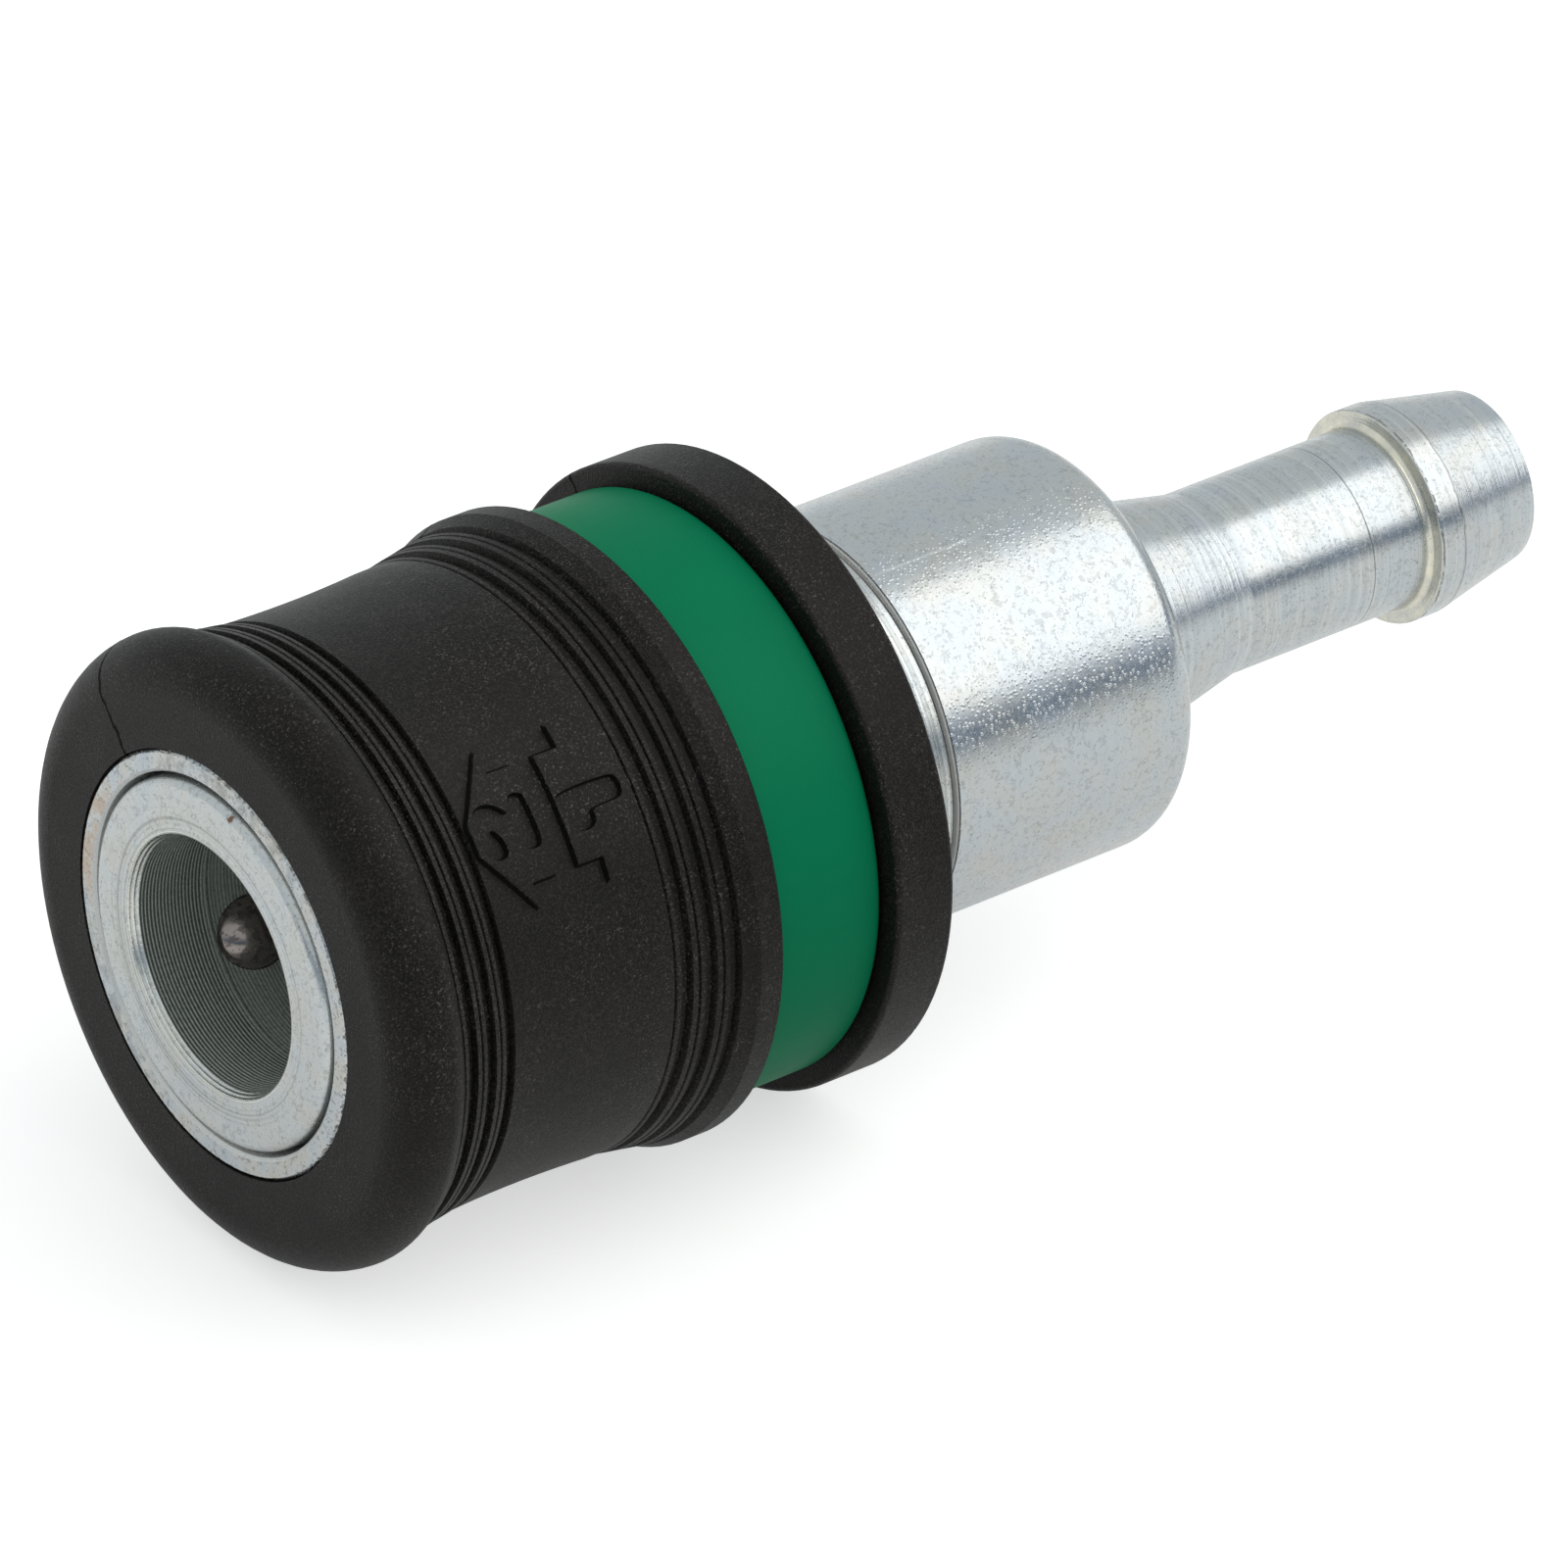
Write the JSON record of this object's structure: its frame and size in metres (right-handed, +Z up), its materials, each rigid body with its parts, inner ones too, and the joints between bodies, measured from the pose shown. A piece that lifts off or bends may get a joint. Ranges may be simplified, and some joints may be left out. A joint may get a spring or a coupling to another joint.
{
  "type": "air safety coupling",
  "caption": "Two-stage safety quick coupling for compressed air: ball-lock socket, moulded grip sleeve with colour ring, turned housing and barbed hose tail.",
  "frame": {"origin": "centre of the coupling's front face, the front plane of the steel locking sleeve, on the turned axis", "axes": "+X along the turned axis from the nipple socket to the hose tail, +Z up, +Y to the left of someone who looks along +X"},
  "size_m": [0.0732, 0.03, 0.03],
  "materials": {
    "zinc_plated_steel": "zinc plated, turned",
    "spring_steel": "bright wire",
    "hardened_ball": "hardened, dull",
    "brass": "turned",
    "black_polyamide": "glass-filled, matte",
    "green_plastic": "smooth moulded",
    "seal_rubber": "smooth"
  },
  "bodies": {
    "coupling_body": {"valve_body": "zinc_plated_steel", "rear_housing": "zinc_plated_steel", "body_seal": "seal_rubber", "nipple_seal": "seal_rubber", "stop_ring": "spring_steel", "grip_spring_seat": "zinc_plated_steel", "valve_guide": "brass", "sleeve_spring": "spring_steel", "vent_spring": "spring_steel", "valve_spring": "spring_steel"},
    "sleeve": {"locking_sleeve": "zinc_plated_steel", "sleeve_spring_seat": "zinc_plated_steel", "sleeve_snap_ring": "spring_steel"},
    "grip_unit": {"grip": "black_polyamide", "colour_ring": "green_plastic", "drive_ring": "zinc_plated_steel", "grip_snap_ring": "spring_steel", "drive_pin_1": "spring_steel", "drive_pin_2": "spring_steel", "drive_pin_3": "spring_steel", "grip_spring": "spring_steel"},
    "ball_1": {"locking_ball_1": "hardened_ball"},
    "ball_2": {"locking_ball_2": "hardened_ball"},
    "ball_3": {"locking_ball_3": "hardened_ball"},
    "ball_4": {"locking_ball_4": "hardened_ball"},
    "vent": {"vent_sleeve": "brass", "vent_seal_front": "seal_rubber", "vent_seal_rear": "seal_rubber"},
    "piston": {"valve_piston": "brass", "valve_seal": "seal_rubber"}
  },
  "joints": [
    {"name": "sleeve_release", "type": "slide", "parent": "coupling_body", "child": "sleeve", "axis": [-1, 0, 0], "range_m": [0, 0.003], "stiffness_N_per_m": 1200, "springref_m": -0.005, "deforming": ["sleeve_spring"]},
    {"name": "grip_pull", "type": "slide", "parent": "sleeve", "child": "grip_unit", "axis": [1, 0, 0], "range_m": [0, 0.003], "stiffness_N_per_m": 800, "springref_m": -0.004, "deforming": ["grip_spring", "vent_spring"]},
    {"name": "vent_slide", "type": "slide", "parent": "coupling_body", "child": "vent", "axis": [1, 0, 0], "range_m": [0, 0.003]},
    {"name": "valve_open", "type": "slide", "parent": "coupling_body", "child": "piston", "axis": [1, 0, 0], "range_m": [0, 0.004], "stiffness_N_per_m": 500, "springref_m": -0.005, "deforming": ["valve_spring"]},
    {"name": "ball_1_lift", "type": "slide", "parent": "coupling_body", "child": "ball_1", "axis": [0, 0.8746, -0.4848], "range_m": [0, 0.00095]},
    {"name": "ball_2_lift", "type": "slide", "parent": "coupling_body", "child": "ball_2", "axis": [0, 0.4848, 0.8746], "range_m": [0, 0.00095]},
    {"name": "ball_3_lift", "type": "slide", "parent": "coupling_body", "child": "ball_3", "axis": [0, -0.8746, 0.4848], "range_m": [0, 0.00095]},
    {"name": "ball_4_lift", "type": "slide", "parent": "coupling_body", "child": "ball_4", "axis": [0, -0.4848, -0.8746], "range_m": [0, 0.00095]}
  ],
  "couplings": [
    {"joint": "ball_1_lift", "follows": "sleeve_release", "ratio": 0.31667},
    {"joint": "ball_2_lift", "follows": "sleeve_release", "ratio": 0.31667},
    {"joint": "ball_3_lift", "follows": "sleeve_release", "ratio": 0.31667},
    {"joint": "ball_4_lift", "follows": "sleeve_release", "ratio": 0.31667},
    {"joint": "vent_slide", "follows": "grip_pull", "ratio": 1}
  ]
}
